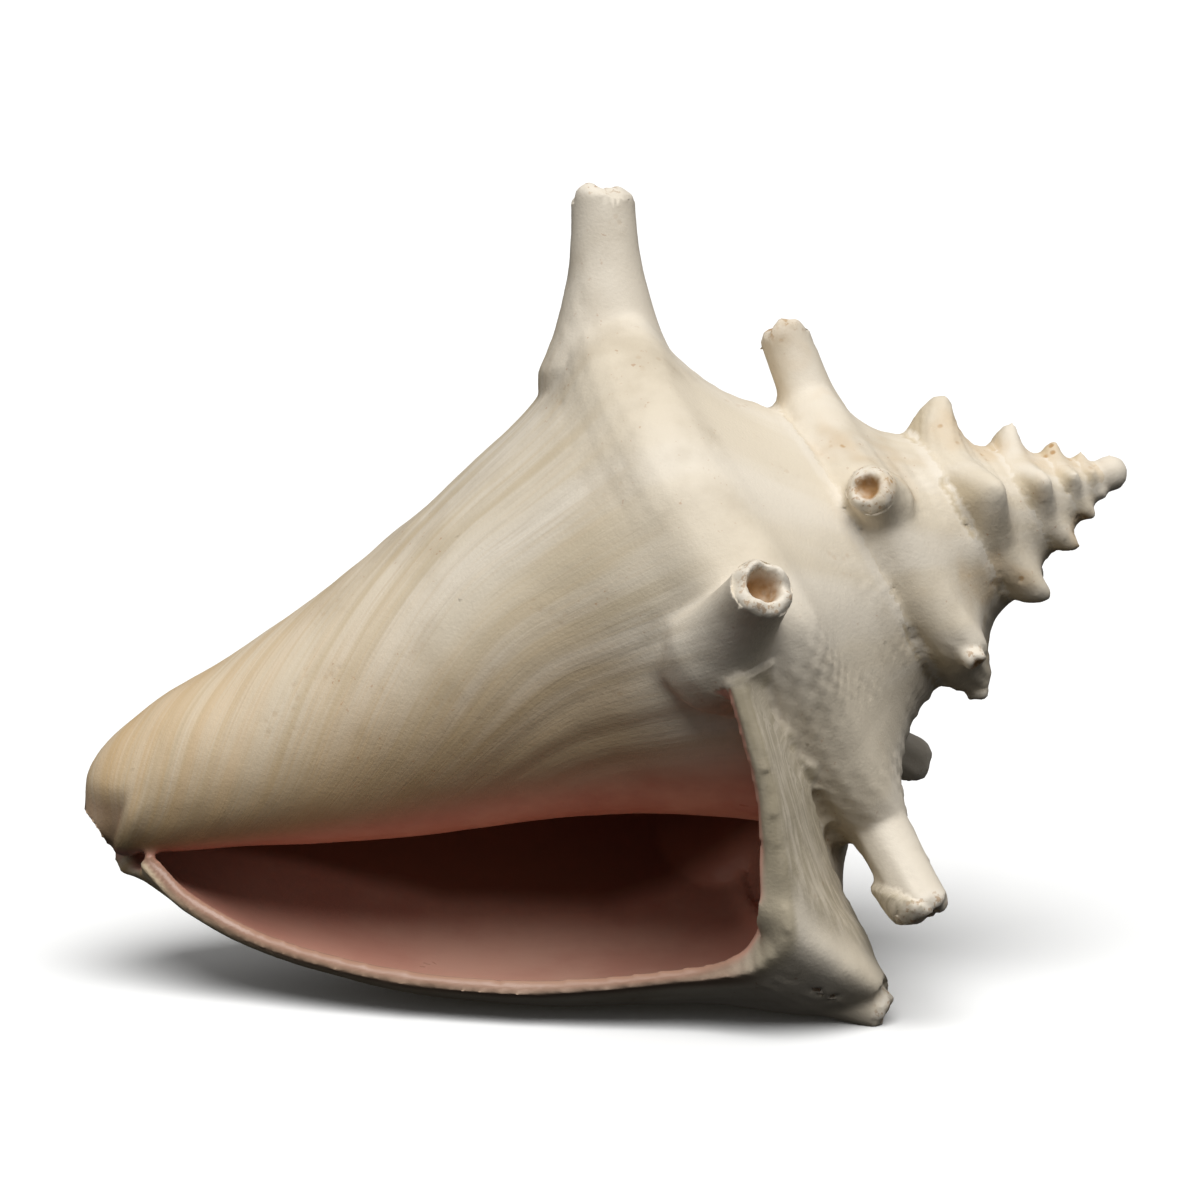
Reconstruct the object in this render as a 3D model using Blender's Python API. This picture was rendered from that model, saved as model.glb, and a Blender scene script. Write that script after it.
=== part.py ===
"""A conch shell: one grown piece, coiled along a logarithmic spiral.

The shell is described in its own frame first. A point has a growth turn t, which is 0 where the lip
ends and falls by 1 for each whorl back towards the apex, a place `along` the axis from the apex, and
a distance `out` from the axis. One section of the whorl is drawn at each turn, and the sections are
swept round the axis. Metres throughout, +Z up, standing as the shell lies on a table.
"""
import math
from collections import namedtuple

import bmesh
import bpy
import numpy as np
from mathutils import Matrix, Vector

# Driving dimensions
GROWTH = 1.60
LIP_ALONG = 0.0918
SUTURE_SLOPE = 0.55
LIP_ANGLE = math.radians(-12.0)
WALL = 0.0036
CORNER_FILL = 1.9
CORNER_SHARE = (0.18, 0.07)
HUB = 0.0004

# The last whorl's wall starts inside the whorl before it, at these shares of the suture's (along, out)
WALL_FOOT = (0.93, 0.78)
APEX_RADIUS = 0.0039
FOLD_AT = Vector((-0.0985, -0.0165, 0.0306))
FOLD_SIZE = Vector((0.0065, 0.0040, 0.0026))

# How the shell lies: the slope of its axis, and the roll towards the back that sets it on its feet
AXIS_SLOPE = math.radians(20.5)
LEAN_BACK = math.radians(9.0)
APEX_AT = Vector((0.1092, -0.0041, 0.1080))

# Sweep limits in turns
FIRST_TURN = -6.4
CORE_END = -0.85
WALL_START = -0.93
LINE_STEPS = 200

# Mesh sizes
VOXEL = 0.0014
FACE_COUNT = 9400

# Sections of the whorl at a few turns. `shoulder` is (along, out) of its widest line, `end` is how far
# along the front end lies, `ramp` is how full the slope above the shoulder is, and `body` gives the
# distance out at the shares of the way from shoulder to end that BODY_SHARES lists.
Section = namedtuple("Section", "turn shoulder end ramp body")
BODY_SHARES = (0.12, 0.26, 0.41, 0.56, 0.71, 0.85, 0.95, 1.0)
SECTIONS = (
    Section(-1.600, (0.0590, 0.0360), 0.2220, -0.10,
            (0.0315, 0.0230, 0.0170, 0.0130, 0.0090, 0.0060, 0.0040, 0.0020)),
    Section(-1.217, (0.0740, 0.0475), 0.2225, -0.10,
            (0.0435, 0.0340, 0.0265, 0.0215, 0.0155, 0.0085, 0.0045, 0.0020)),
    Section(-0.967, (0.0830, 0.0540), 0.2260, -0.01,
            (0.0505, 0.0420, 0.0345, 0.0280, 0.0220, 0.0155, 0.0090, 0.0040)),
    Section(-0.717, (0.0930, 0.0590), 0.2305, -0.05,
            (0.0553, 0.0477, 0.0399, 0.0333, 0.0281, 0.0243, 0.0180, 0.0090)),
    Section(-0.467, (0.1000, 0.0655), 0.2290, -0.08,
            (0.0635, 0.0570, 0.0495, 0.0420, 0.0345, 0.0270, 0.0185, 0.0090)),
    Section(-0.217, (0.1060, 0.0740), 0.2240, -0.04,
            (0.0720, 0.0660, 0.0595, 0.0515, 0.0410, 0.0285, 0.0150, 0.0070)),
    Section(-0.120, (0.1100, 0.0770), 0.2220, 0.06,
            (0.0760, 0.0720, 0.0660, 0.0575, 0.0465, 0.0330, 0.0190, 0.0080)),
    Section(0.000, (0.1130, 0.0785), 0.2210, 0.10,
            (0.0775, 0.0740, 0.0680, 0.0595, 0.0485, 0.0350, 0.0200, 0.0080)),
)
RAMP_SHARES = (0.30, 0.60, 0.85)
SECTION_TURNS = np.array([s.turn for s in SECTIONS])
SECTION_VALUES = np.array([[*s.shoulder, s.end, s.ramp, *s.body] for s in SECTIONS])

# Spines stand on the shoulder. `tip` is (along, out), `radius` is the finger's at the tip, which grows by
# the share `flare` towards its foot, as FINGER_POWER shapes it, `tent` is the share of
# the height that the shoulder itself rises, `spread` is how wide that rise is, in turns, `web` is how far
# the slope above follows it, and `root` is how far (along, turn) the foot lies from under the tip.
Spine = namedtuple("Spine", "turn tip radius flare tent spread web root", defaults=(0.0, (0.0, 0.0)))
SPINES = (
    Spine(-0.167, (0.0872, 0.0905), 0.0044, 0.25, 0.85, 0.058, 0.55),
    Spine(-0.350, (0.0880, 0.1000), 0.0065, 0.90, 0.30, 0.060),
    Spine(-0.533, (0.0840, 0.0940), 0.0065, 0.90, 0.30, 0.060),
    Spine(-0.717, (0.0818, 0.0936), 0.0067, 1.20, 0.34, 0.068, 0.25),
    Spine(-0.957, (0.0814, 0.0740), 0.0064, 0.75, 0.30, 0.064, 0.0, (0.0095, -0.024)),
    Spine(-1.139, (0.0738, 0.0795), 0.0056, 0.80, 0.42, 0.066, 0.3),
    Spine(-1.328, (0.0600, 0.0588), 0.0046, 0.60, 0.35, 0.050),
    Spine(-1.520, (0.0560, 0.0540), 0.0046, 0.60, 0.35, 0.050),
    Spine(-1.717, (0.0578, 0.0530), 0.0054, 0.50, 0.40, 0.060, 0.12),
    Spine(-1.906, (0.0545, 0.0405), 0.0050, 0.50, 0.34, 0.050),
    Spine(-2.090, (0.0455, 0.0380), 0.0024, 0.30, 0.75, 0.055),
    Spine(-2.217, (0.0460, 0.0353), 0.0026, 0.30, 0.70, 0.045),
    Spine(-2.370, (0.0410, 0.0305), 0.0026, 0.30, 0.70, 0.050),
)
FINGER_POWER = 2.4
FINGER_ROOT = 0.35

# Knobs of the small whorls, as shares of the whorl's own size, repeat every KNOB_STEP turns
KNOB_FIRST = -2.73
KNOB_STEP = 0.20
KNOB_LIMIT = -2.45
KNOB_RISE = (-0.12, 0.30)
KNOB_SPREAD = 0.26

# How much each control point of a section follows a spine or knob, from the suture to the front end,
# and how much more the slope's points do where the spine is webbed
TENT_WEIGHTS = np.array([0.0, 0.05, 0.40, 1.0, 0.85, 0.16, 0.02, 0, 0, 0, 0, 0, 0])
WEB_WEIGHTS = np.array([0.0, 0.35, 0.50, 0.10, 0, 0, 0, 0, 0, 0, 0, 0, 0])

# The lip's edge: growth turn at shares of the way along the section, from the suture to the front end
LIP_SHARES = (0, 0.05, 0.09, 0.12, 0.17, 0.23, 0.30, 0.50, 0.85, 0.95, 1.0)
LIP_TURNS = (0.012, -0.050, -0.080, -0.095, -0.110, -0.122, -0.130, -0.134, -0.133, -0.110, -0.060)


def hermite(x, step, start, end, start_slope, end_slope):
    """The cubic between two values with given slopes, at share x of a step."""
    return ((2 * x**3 - 3 * x**2 + 1) * start + (x**3 - 2 * x**2 + x) * step * start_slope
            + (3 * x**2 - 2 * x**3) * end + (x**3 - x**2) * step * end_slope)


def ease(x, low, high):
    """0 below low, 1 above high, smooth between."""
    x = min(max((x - low) / (high - low), 0.0), 1.0)
    return x * x * (3 - 2 * x)


def suture(turn):
    """(along, out) of the line where a whorl leaves the one before it."""
    along = LIP_ALONG * GROWTH ** turn
    flare = 1 + 0.21 * ease(turn, -1.0, -0.15)
    return np.array([along, SUTURE_SLOPE * along * flare])


def section_values(turn):
    """The numbers of a Section at any turn, smoothly between the ones listed."""
    turn = min(max(turn, SECTION_TURNS[0]), SECTION_TURNS[-1])
    i = int(np.clip(np.searchsorted(SECTION_TURNS, turn, side="right") - 1, 0, len(SECTIONS) - 2))
    step = SECTION_TURNS[i + 1] - SECTION_TURNS[i]
    slopes = np.gradient(SECTION_VALUES, SECTION_TURNS, axis=0)
    x = (turn - SECTION_TURNS[i]) / step
    return hermite(x, step, SECTION_VALUES[i], SECTION_VALUES[i + 1], slopes[i], slopes[i + 1])


def bare_controls(turn):
    """Control points of the section without spines, from the suture to the front end."""
    if turn < SECTION_TURNS[0]:
        return bare_controls(SECTION_TURNS[0]) * GROWTH ** (turn - SECTION_TURNS[0])
    values = section_values(turn)
    shoulder, end, ramp, body = values[:2], values[2], values[3], values[4:]
    start = suture(turn)
    slope = shoulder - start
    across = np.array([-slope[1], slope[0]])
    points = [start]
    points += [start + q * slope + across * ramp * 4 * q * (1 - q) for q in RAMP_SHARES]
    points.append(shoulder + np.array([0.045 * (end - shoulder[0]), -0.012 * shoulder[1]]))
    points += [np.array([shoulder[0] + q * (end - shoulder[0]), out]) for q, out in zip(BODY_SHARES, body)]
    return np.array(points)


def foot(spine):
    """(turn, (along, out)) of the middle of a spine's foot on the shoulder."""
    turn = spine.turn + spine.root[1]
    return turn, bare_controls(turn)[3:5].mean(axis=0) + np.array([spine.root[0], 0.0])


FEET = [foot(spine) for spine in SPINES]


def rises(turn):
    """How far (along, out) the spines and knobs move each control point at this turn."""
    moves = np.zeros((len(TENT_WEIGHTS), 2))
    for spine, (root_turn, root) in zip(SPINES, FEET):
        fall = math.exp(-abs((turn - root_turn) / spine.spread) ** 1.5)
        weights = TENT_WEIGHTS + spine.web * WEB_WEIGHTS
        moves += weights[:, None] * (np.array(spine.tip) - root) * spine.tent * fall
    if turn < KNOB_LIMIT:
        step = (turn - KNOB_FIRST) / KNOB_STEP
        fall = math.exp(-abs((step - round(step)) / KNOB_SPREAD) ** 1.5)
        moves += TENT_WEIGHTS[:, None] * LIP_ALONG * GROWTH ** turn * np.array(KNOB_RISE) * fall
    return moves


def section(turn, count):
    """`count` points (along, out) of the whorl's outer line at this turn."""
    points = bare_controls(turn) + rises(turn)
    lengths = np.concatenate([[0], np.cumsum(np.linalg.norm(np.diff(points, axis=0), axis=1))])
    slopes = np.gradient(points, lengths, axis=0)
    at = np.linspace(0, lengths[-1], count)
    i = np.clip(np.searchsorted(lengths, at, side="right") - 1, 0, len(lengths) - 2)
    step = (lengths[i + 1] - lengths[i])[:, None]
    x = (at - lengths[i])[:, None] / step
    return hermite(x, step, points[i], points[i + 1], slopes[i], slopes[i + 1])


# The shell's frame in the world, as unit vectors
LAY = Matrix.Rotation(-LEAN_BACK, 3, "X")
AXIS = LAY @ Vector((-math.cos(AXIS_SLOPE), 0.0, -math.sin(AXIS_SLOPE)))
FORWARD = LAY @ Vector((0.0, -1.0, 0.0))
UPWARD = LAY @ Vector((-math.sin(AXIS_SLOPE), 0.0, math.cos(AXIS_SLOPE)))


def outward(turn):
    """The unit vector away from the axis at this turn."""
    angle = LIP_ANGLE + 2 * math.pi * turn
    return math.cos(angle) * FORWARD + math.sin(angle) * UPWARD


def place(turn, along, out):
    """A world point from the shell's own measures."""
    return APEX_AT + float(along) * AXIS + float(out) * outward(turn)


def skin(bm, rings):
    """Joins closed rings of points with faces and caps both ends, each as a strip across the ring."""
    grid = [[bm.verts.new(p) for p in ring] for ring in rings]
    count = len(grid[0])
    for a, b in zip(grid, grid[1:]):
        for j in range(count):
            k = (j + 1) % count
            bm.faces.new((a[j], a[k], b[k], b[j]))
    for j in range(count // 2 - 1):
        strip = (j, j + 1, count - 2 - j, count - 1 - j)
        bm.faces.new([grid[0][k] for k in strip[::-1]])
        bm.faces.new([grid[-1][k] for k in strip])


def add_core(bm, rings_per_turn, count):
    """The filled whorls, from the apex to where the last whorl becomes a thin wall."""
    rings = []
    for turn in np.linspace(FIRST_TURN, CORE_END, int((CORE_END - FIRST_TURN) * rings_per_turn)):
        line = section(turn, count)
        ring = [place(turn, along, out) for along, out in line]
        ring += [place(turn, along, HUB) for along in line[::-1, 0]]
        rings.append(ring)
    skin(bm, rings)


def wall_at(share):
    """The wall's thickness at a share of the section. It fills the corner under the shoulder."""
    centre, spread = CORNER_SHARE
    return WALL * (1 + CORNER_FILL * math.exp(-((share - centre) / spread) ** 2))


def add_wall(bm, rings_per_turn, count):
    """The last whorl's wall, out to the lip. Its edge runs back from the suture as LIP_TURNS says."""
    edge = np.interp(np.linspace(0, 1, count), LIP_SHARES, LIP_TURNS)
    lines = [section(WALL_START + k / LINE_STEPS, count) for k in range(int((0.03 - WALL_START) * LINE_STEPS))]
    rings = []
    for share in np.linspace(0, 1, int(-WALL_START * rings_per_turn)):
        turns = WALL_START + share * (edge - WALL_START)
        outer, inner = [], []
        for j, turn in enumerate(turns):
            k = int((turn - WALL_START) * LINE_STEPS)
            mix = (turn - WALL_START) * LINE_STEPS - k
            line = lines[k] * (1 - mix) + lines[k + 1] * mix
            ahead = line[min(j + 1, count - 1)] - line[max(j - 1, 0)]
            normal = np.array([-ahead[1], ahead[0]]) / np.linalg.norm(ahead)
            outer.append(place(turn, *line[j]))
            deep = line[j] - normal * wall_at(j / (count - 1))
            inner.append(place(turn, deep[0], max(deep[1], HUB)))
        along, out = suture(turns[0]) * WALL_FOOT
        outer.insert(0, place(turns[0], along, out))
        inner.insert(0, place(turns[0], along + WALL, out))
        rings.append(outer + inner[::-1])
    skin(bm, rings)


def kept_from_hollow(point, near_turn):
    """Moves a point of a spine's foot out of the hollow whorl, into the middle of its wall."""
    offset = point - APEX_AT
    along = offset.dot(AXIS)
    across = offset - along * AXIS
    angle = math.atan2(across.dot(UPWARD), across.dot(FORWARD))
    turn = (angle - LIP_ANGLE) / (2 * math.pi)
    turn += round(near_turn - turn)
    line = section(turn, 160)
    here = np.array([along, across.length])
    j = int(np.argmin(np.linalg.norm(line - here, axis=1)))
    ahead = line[min(j + 1, 159)] - line[max(j - 1, 0)]
    normal = np.array([-ahead[1], ahead[0]]) / np.linalg.norm(ahead)
    too_deep = (line[j] - here) @ normal - 0.5 * WALL
    if turn < CORE_END or too_deep < 0:
        return point
    return place(turn, *(here + normal * too_deep))


def add_spine(bm, spine, root_turn, root, rings, sides):
    """A finger from inside the shoulder to its blunt tip, wider at the root."""
    start = place(root_turn, *root)
    tip = place(spine.turn, *spine.tip)
    direction = (tip - start).normalized()
    side = direction.cross(AXIS).normalized()
    other = direction.cross(side)
    loops = []
    for share in np.linspace(-FINGER_ROOT, 1, rings):
        centre = start.lerp(tip, float(share))
        radius = float(spine.radius * (1 + spine.flare * (1 - max(share, 0)) ** FINGER_POWER))
        angles = [2 * math.pi * k / sides for k in range(sides)]
        loop = [centre + radius * (math.cos(a) * side + math.sin(a) * other) for a in angles]
        loops.append([kept_from_hollow(point, spine.turn) for point in loop])
    skin(bm, loops)


def add_apex(bm):
    """The blunt first whorls at the very tip."""
    centre = APEX_AT + APEX_RADIUS * AXIS
    bmesh.ops.create_uvsphere(bm, u_segments=24, v_segments=12, radius=APEX_RADIUS,
                              matrix=Matrix.Translation(centre))


def add_front_fold(bm):
    """The small fold that closes the front end beside the lip."""
    bmesh.ops.create_uvsphere(bm, u_segments=24, v_segments=12, radius=1.0,
                              matrix=Matrix.LocRotScale(FOLD_AT, None, FOLD_SIZE))


def fused(name, bm, voxel):
    """One closed skin round everything in bm."""
    mesh = bpy.data.meshes.new(name)
    bm.to_mesh(mesh)
    bm.free()
    obj = bpy.data.objects.new(name, mesh)
    bpy.context.scene.collection.objects.link(obj)
    remesh = obj.modifiers.new("one_skin", "REMESH")
    remesh.mode = "VOXEL"
    remesh.voxel_size = voxel
    soften = obj.modifiers.new("soften", "SMOOTH")
    soften.factor = 0.5
    soften.iterations = 5
    return obj


def taken(obj):
    """The object's mesh with its modifiers worked in."""
    depsgraph = bpy.context.evaluated_depsgraph_get()
    mesh = bpy.data.meshes.new_from_object(obj.evaluated_get(depsgraph))
    obj.modifiers.clear()
    obj.data = mesh
    return mesh


def keep_largest(obj):
    """Drops small separate skins, the closed bubbles left inside the fused whorls."""
    bm = bmesh.new()
    bm.from_mesh(obj.data)
    left = set(bm.verts)
    groups = []
    while left:
        group, queue = set(), [left.pop()]
        while queue:
            vert = queue.pop()
            group.add(vert)
            near = {edge.other_vert(vert) for edge in vert.link_edges} & left
            left -= near
            queue.extend(near)
        groups.append(group)
    groups.sort(key=len)
    for group in groups[:-1]:
        bmesh.ops.delete(bm, geom=list(group), context="VERTS")
    bm.to_mesh(obj.data)
    bm.free()


def stand_on_table(obj):
    """Wears the feet flat where the shell touches the table at z = 0."""
    bm = bmesh.new()
    bm.from_mesh(obj.data)
    everything = bm.verts[:] + bm.edges[:] + bm.faces[:]
    cut = bmesh.ops.bisect_plane(bm, geom=everything, dist=1e-6, plane_co=(0, 0, 0),
                                 plane_no=(0, 0, -1), clear_outer=True)
    rim = [e for e in cut["geom_cut"] if isinstance(e, bmesh.types.BMEdge)]
    bmesh.ops.holes_fill(bm, edges=rim)
    bmesh.ops.triangulate(bm, faces=bm.faces[:])
    bm.to_mesh(obj.data)
    bm.free()


def shell_material():
    material = bpy.data.materials.new("shell")
    material.use_nodes = True
    surface = material.node_tree.nodes["Principled BSDF"]
    surface.inputs["Base Color"].default_value = (0.70, 0.62, 0.50, 1.0)
    surface.inputs["Roughness"].default_value = 0.45
    return material


for old in list(bpy.data.objects):
    bpy.data.objects.remove(old)

form = bmesh.new()
add_core(form, rings_per_turn=90, count=60)
add_wall(form, rings_per_turn=90, count=60)
for one, (root_turn, root) in zip(SPINES, FEET):
    add_spine(form, one, root_turn, root, rings=20, sides=20)
add_apex(form)
add_front_fold(form)
shell = fused("conch_shell", form, VOXEL)
taken(shell)
keep_largest(shell)
thin = shell.modifiers.new("fewer_faces", "DECIMATE")
thin.ratio = FACE_COUNT / (2 * len(shell.data.polygons))
taken(shell)
stand_on_table(shell)
shell.data.materials.append(shell_material())
shell.data.shade_smooth()
shell.data.set_sharp_from_angle(angle=math.radians(40))
print("faces", len(shell.data.polygons))
print("box", [tuple(round(c, 4) for c in v) for v in
              (np.array([v.co for v in shell.data.vertices]).min(0), np.array([v.co for v in shell.data.vertices]).max(0))])
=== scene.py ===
"""The dressed conch shell: its fine form, relief, colour and glaze, in the CAD part's own frame."""

import math
from collections import namedtuple

import bmesh
import bpy
import numpy as np
from mathutils import Matrix, Vector
from mathutils import noise as noise3


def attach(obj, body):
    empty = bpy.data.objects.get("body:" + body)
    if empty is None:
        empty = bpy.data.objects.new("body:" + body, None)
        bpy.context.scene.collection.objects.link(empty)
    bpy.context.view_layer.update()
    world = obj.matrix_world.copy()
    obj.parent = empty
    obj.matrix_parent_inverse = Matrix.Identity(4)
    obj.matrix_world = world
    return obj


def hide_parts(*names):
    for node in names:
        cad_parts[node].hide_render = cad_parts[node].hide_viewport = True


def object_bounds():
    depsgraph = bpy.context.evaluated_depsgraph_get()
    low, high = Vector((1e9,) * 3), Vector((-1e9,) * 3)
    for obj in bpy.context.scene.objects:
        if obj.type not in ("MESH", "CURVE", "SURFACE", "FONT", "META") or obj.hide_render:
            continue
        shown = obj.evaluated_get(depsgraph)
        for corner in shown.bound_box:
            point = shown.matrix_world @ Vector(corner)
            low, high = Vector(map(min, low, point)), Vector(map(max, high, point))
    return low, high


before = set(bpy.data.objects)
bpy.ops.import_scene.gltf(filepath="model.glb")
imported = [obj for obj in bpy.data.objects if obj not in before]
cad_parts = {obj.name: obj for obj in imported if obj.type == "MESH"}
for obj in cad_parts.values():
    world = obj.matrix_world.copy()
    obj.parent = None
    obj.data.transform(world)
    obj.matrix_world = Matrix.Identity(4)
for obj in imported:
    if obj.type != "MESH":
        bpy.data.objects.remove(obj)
cad_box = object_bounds()

# The conch shell
# One grown piece of layered lime, dull cream outside and glazed salmon inside the mouth. It coils round
# an axis while it grows 1.6 times in each turn: a section of the whorl is swept round, spines pull its
# shoulder out, and threads, growth lines and chips are laid over that surface.
GROWTH = 1.60
LIP_ALONG = 0.0918
SUTURE_SLOPE = 0.55
LIP_ANGLE = math.radians(-12.0)
WALL = 0.0036
CORNER_FILL = 1.9
CORNER_SHARE = (0.18, 0.07)
HUB = 0.0004
APEX_RADIUS = 0.0039
FOLD_AT = (-0.0985, -0.0165, 0.0306)
FOLD_SIZE = (0.0065, 0.0040, 0.0026)

# The last whorl's wall starts inside the whorl before it, at these shares of the suture's (along, out)
WALL_FOOT = (0.93, 0.78)

# How the shell lies: the slope of its axis, and the roll towards the back that sets it on its feet
AXIS_SLOPE = math.radians(20.5)
LEAN_BACK = math.radians(9.0)
APEX_AT = Vector((0.1092, -0.0041, 0.1080))

# Sweep limits in turns, which are 0 where the lip ends and fall by 1 for each whorl back to the apex
FIRST_TURN = -6.4
CORE_END = -0.85
WALL_START = -0.93
LAST_TURN = 0.03

# How finely the form is swept, fused and kept
CORE_STEP = 0.0055
WALL_ROWS = 170
FINGER_RINGS = 24
BALL_RINGS = 16
SIDES = 32
POLE_GAP = 0.02
VOXEL = 0.00085
TRIANGLES_KEPT = 185000
POINTS_AT_ONCE = 20000

# Sections of the whorl at a few turns. `shoulder` is (along, out) of its widest line, `end` is how far
# along the front end lies, `ramp` is how full the slope above the shoulder is, and `body` gives the
# distance out at the shares of the way from shoulder to end that BODY_SHARES lists.
Section = namedtuple("Section", "turn shoulder end ramp body")
BODY_SHARES = (0.12, 0.26, 0.41, 0.56, 0.71, 0.85, 0.95, 1.0)
SECTIONS = (
    Section(-1.600, (0.0590, 0.0360), 0.2220, -0.10,
            (0.0315, 0.0230, 0.0170, 0.0130, 0.0090, 0.0060, 0.0040, 0.0020)),
    Section(-1.217, (0.0740, 0.0475), 0.2225, -0.10,
            (0.0435, 0.0340, 0.0265, 0.0215, 0.0155, 0.0085, 0.0045, 0.0020)),
    Section(-0.967, (0.0830, 0.0540), 0.2260, -0.01,
            (0.0505, 0.0420, 0.0345, 0.0280, 0.0220, 0.0155, 0.0090, 0.0040)),
    Section(-0.717, (0.0930, 0.0590), 0.2305, -0.05,
            (0.0553, 0.0477, 0.0399, 0.0333, 0.0281, 0.0243, 0.0180, 0.0090)),
    Section(-0.467, (0.1000, 0.0655), 0.2290, -0.08,
            (0.0635, 0.0570, 0.0495, 0.0420, 0.0345, 0.0270, 0.0185, 0.0090)),
    Section(-0.217, (0.1060, 0.0740), 0.2240, -0.04,
            (0.0720, 0.0660, 0.0595, 0.0515, 0.0410, 0.0285, 0.0150, 0.0070)),
    Section(-0.120, (0.1100, 0.0770), 0.2220, 0.06,
            (0.0760, 0.0720, 0.0660, 0.0575, 0.0465, 0.0330, 0.0190, 0.0080)),
    Section(0.000, (0.1130, 0.0785), 0.2210, 0.10,
            (0.0775, 0.0740, 0.0680, 0.0595, 0.0485, 0.0350, 0.0200, 0.0080)),
)
RAMP_SHARES = (0.30, 0.60, 0.85)
SECTION_TURNS = np.array([s.turn for s in SECTIONS])
SECTION_VALUES = np.array([[*s.shoulder, s.end, s.ramp, *s.body] for s in SECTIONS])

# Spines stand on the shoulder. `tip` is (along, out), `radius` is the finger's at the tip, which grows by
# the share `flare` towards its foot, as FINGER_POWER shapes it. `tent` is the share of the height that the
# shoulder itself rises, `spread` is how wide that rise is, in turns, `web` is how far the slope above
# follows it, and `root` is how far (along, turn) the foot lies from under the tip.
Spine = namedtuple("Spine", "turn tip radius flare tent spread web root", defaults=(0.0, (0.0, 0.0)))
SPINES = (
    Spine(-0.167, (0.0872, 0.0905), 0.0044, 0.25, 0.85, 0.058, 0.55),
    Spine(-0.350, (0.0880, 0.1000), 0.0065, 0.90, 0.30, 0.060),
    Spine(-0.533, (0.0840, 0.0940), 0.0065, 0.90, 0.30, 0.060),
    Spine(-0.717, (0.0818, 0.0936), 0.0067, 1.20, 0.34, 0.068, 0.25),
    Spine(-0.957, (0.0814, 0.0740), 0.0064, 0.75, 0.30, 0.064, 0.0, (0.0095, -0.024)),
    Spine(-1.139, (0.0738, 0.0795), 0.0056, 0.80, 0.42, 0.066, 0.3),
    Spine(-1.328, (0.0600, 0.0588), 0.0046, 0.60, 0.35, 0.050),
    Spine(-1.520, (0.0560, 0.0540), 0.0046, 0.60, 0.35, 0.050),
    Spine(-1.717, (0.0578, 0.0530), 0.0054, 0.50, 0.40, 0.060, 0.12),
    Spine(-1.906, (0.0545, 0.0405), 0.0050, 0.50, 0.34, 0.050),
    Spine(-2.090, (0.0455, 0.0380), 0.0024, 0.30, 0.75, 0.055),
    Spine(-2.217, (0.0460, 0.0353), 0.0026, 0.30, 0.70, 0.045),
    Spine(-2.370, (0.0410, 0.0305), 0.0026, 0.30, 0.70, 0.050),
)
FINGER_POWER = 2.4
FINGER_ROOT = 0.35

# Knobs of the small whorls, as shares of the whorl's own size, repeat every KNOB_STEP turns
KNOB_FIRST = -2.73
KNOB_STEP = 0.20
KNOB_LIMIT = -2.45
KNOB_RISE = (-0.12, 0.30)
KNOB_SPREAD = 0.26

# How much each control point of a section follows a spine or knob, from the suture to the front end,
# and how much more the slope's points do where the spine is webbed
TENT_WEIGHTS = np.array([0.0, 0.05, 0.40, 1.0, 0.85, 0.16, 0.02, 0, 0, 0, 0, 0, 0])
WEB_WEIGHTS = np.array([0.0, 0.35, 0.50, 0.10, 0, 0, 0, 0, 0, 0, 0, 0, 0])

# The lip's edge: growth turn at shares of the way along the section, from the suture to the front end
LIP_SHARES = (0, 0.05, 0.09, 0.12, 0.17, 0.23, 0.30, 0.50, 0.85, 0.95, 1.0)
LIP_TURNS = (0.012, -0.050, -0.080, -0.095, -0.110, -0.122, -0.130, -0.134, -0.133, -0.110, -0.060)


def hermite(x, step, start, end, start_slope, end_slope):
    """The cubic between two values with given slopes, at share x of a step."""
    return ((2 * x**3 - 3 * x**2 + 1) * start + (x**3 - 2 * x**2 + x) * step * start_slope
            + (3 * x**2 - 2 * x**3) * end + (x**3 - x**2) * step * end_slope)


def ease(x, low, high):
    """0 at low, 1 at high, smooth between."""
    x = np.clip((np.asarray(x, float) - low) / (high - low), 0.0, 1.0)
    return x * x * (3 - 2 * x)


def suture(turn):
    """(along, out) of the line where a whorl leaves the one before it."""
    along = LIP_ALONG * GROWTH ** turn
    flare = 1 + 0.21 * ease(turn, -1.0, -0.15)
    return np.array([along, SUTURE_SLOPE * along * flare])


def section_values(turn):
    """The numbers of a Section at any turn, smoothly between the ones listed."""
    turn = min(max(turn, SECTION_TURNS[0]), SECTION_TURNS[-1])
    i = int(np.clip(np.searchsorted(SECTION_TURNS, turn, side="right") - 1, 0, len(SECTIONS) - 2))
    step = SECTION_TURNS[i + 1] - SECTION_TURNS[i]
    slopes = np.gradient(SECTION_VALUES, SECTION_TURNS, axis=0)
    x = (turn - SECTION_TURNS[i]) / step
    return hermite(x, step, SECTION_VALUES[i], SECTION_VALUES[i + 1], slopes[i], slopes[i + 1])


def bare_controls(turn):
    """Control points of the section without spines, from the suture to the front end."""
    if turn < SECTION_TURNS[0]:
        return bare_controls(SECTION_TURNS[0]) * GROWTH ** (turn - SECTION_TURNS[0])
    values = section_values(turn)
    shoulder, end, ramp, body = values[:2], values[2], values[3], values[4:]
    start = suture(turn)
    slope = shoulder - start
    across = np.array([-slope[1], slope[0]])
    points = [start]
    points += [start + q * slope + across * ramp * 4 * q * (1 - q) for q in RAMP_SHARES]
    points.append(shoulder + np.array([0.045 * (end - shoulder[0]), -0.012 * shoulder[1]]))
    points += [np.array([shoulder[0] + q * (end - shoulder[0]), out]) for q, out in zip(BODY_SHARES, body)]
    return np.array(points)


def foot(spine):
    """(turn, (along, out)) of the middle of a spine's foot on the shoulder."""
    turn = spine.turn + spine.root[1]
    return turn, bare_controls(turn)[3:5].mean(axis=0) + np.array([spine.root[0], 0.0])


FEET = [foot(spine) for spine in SPINES]


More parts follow.
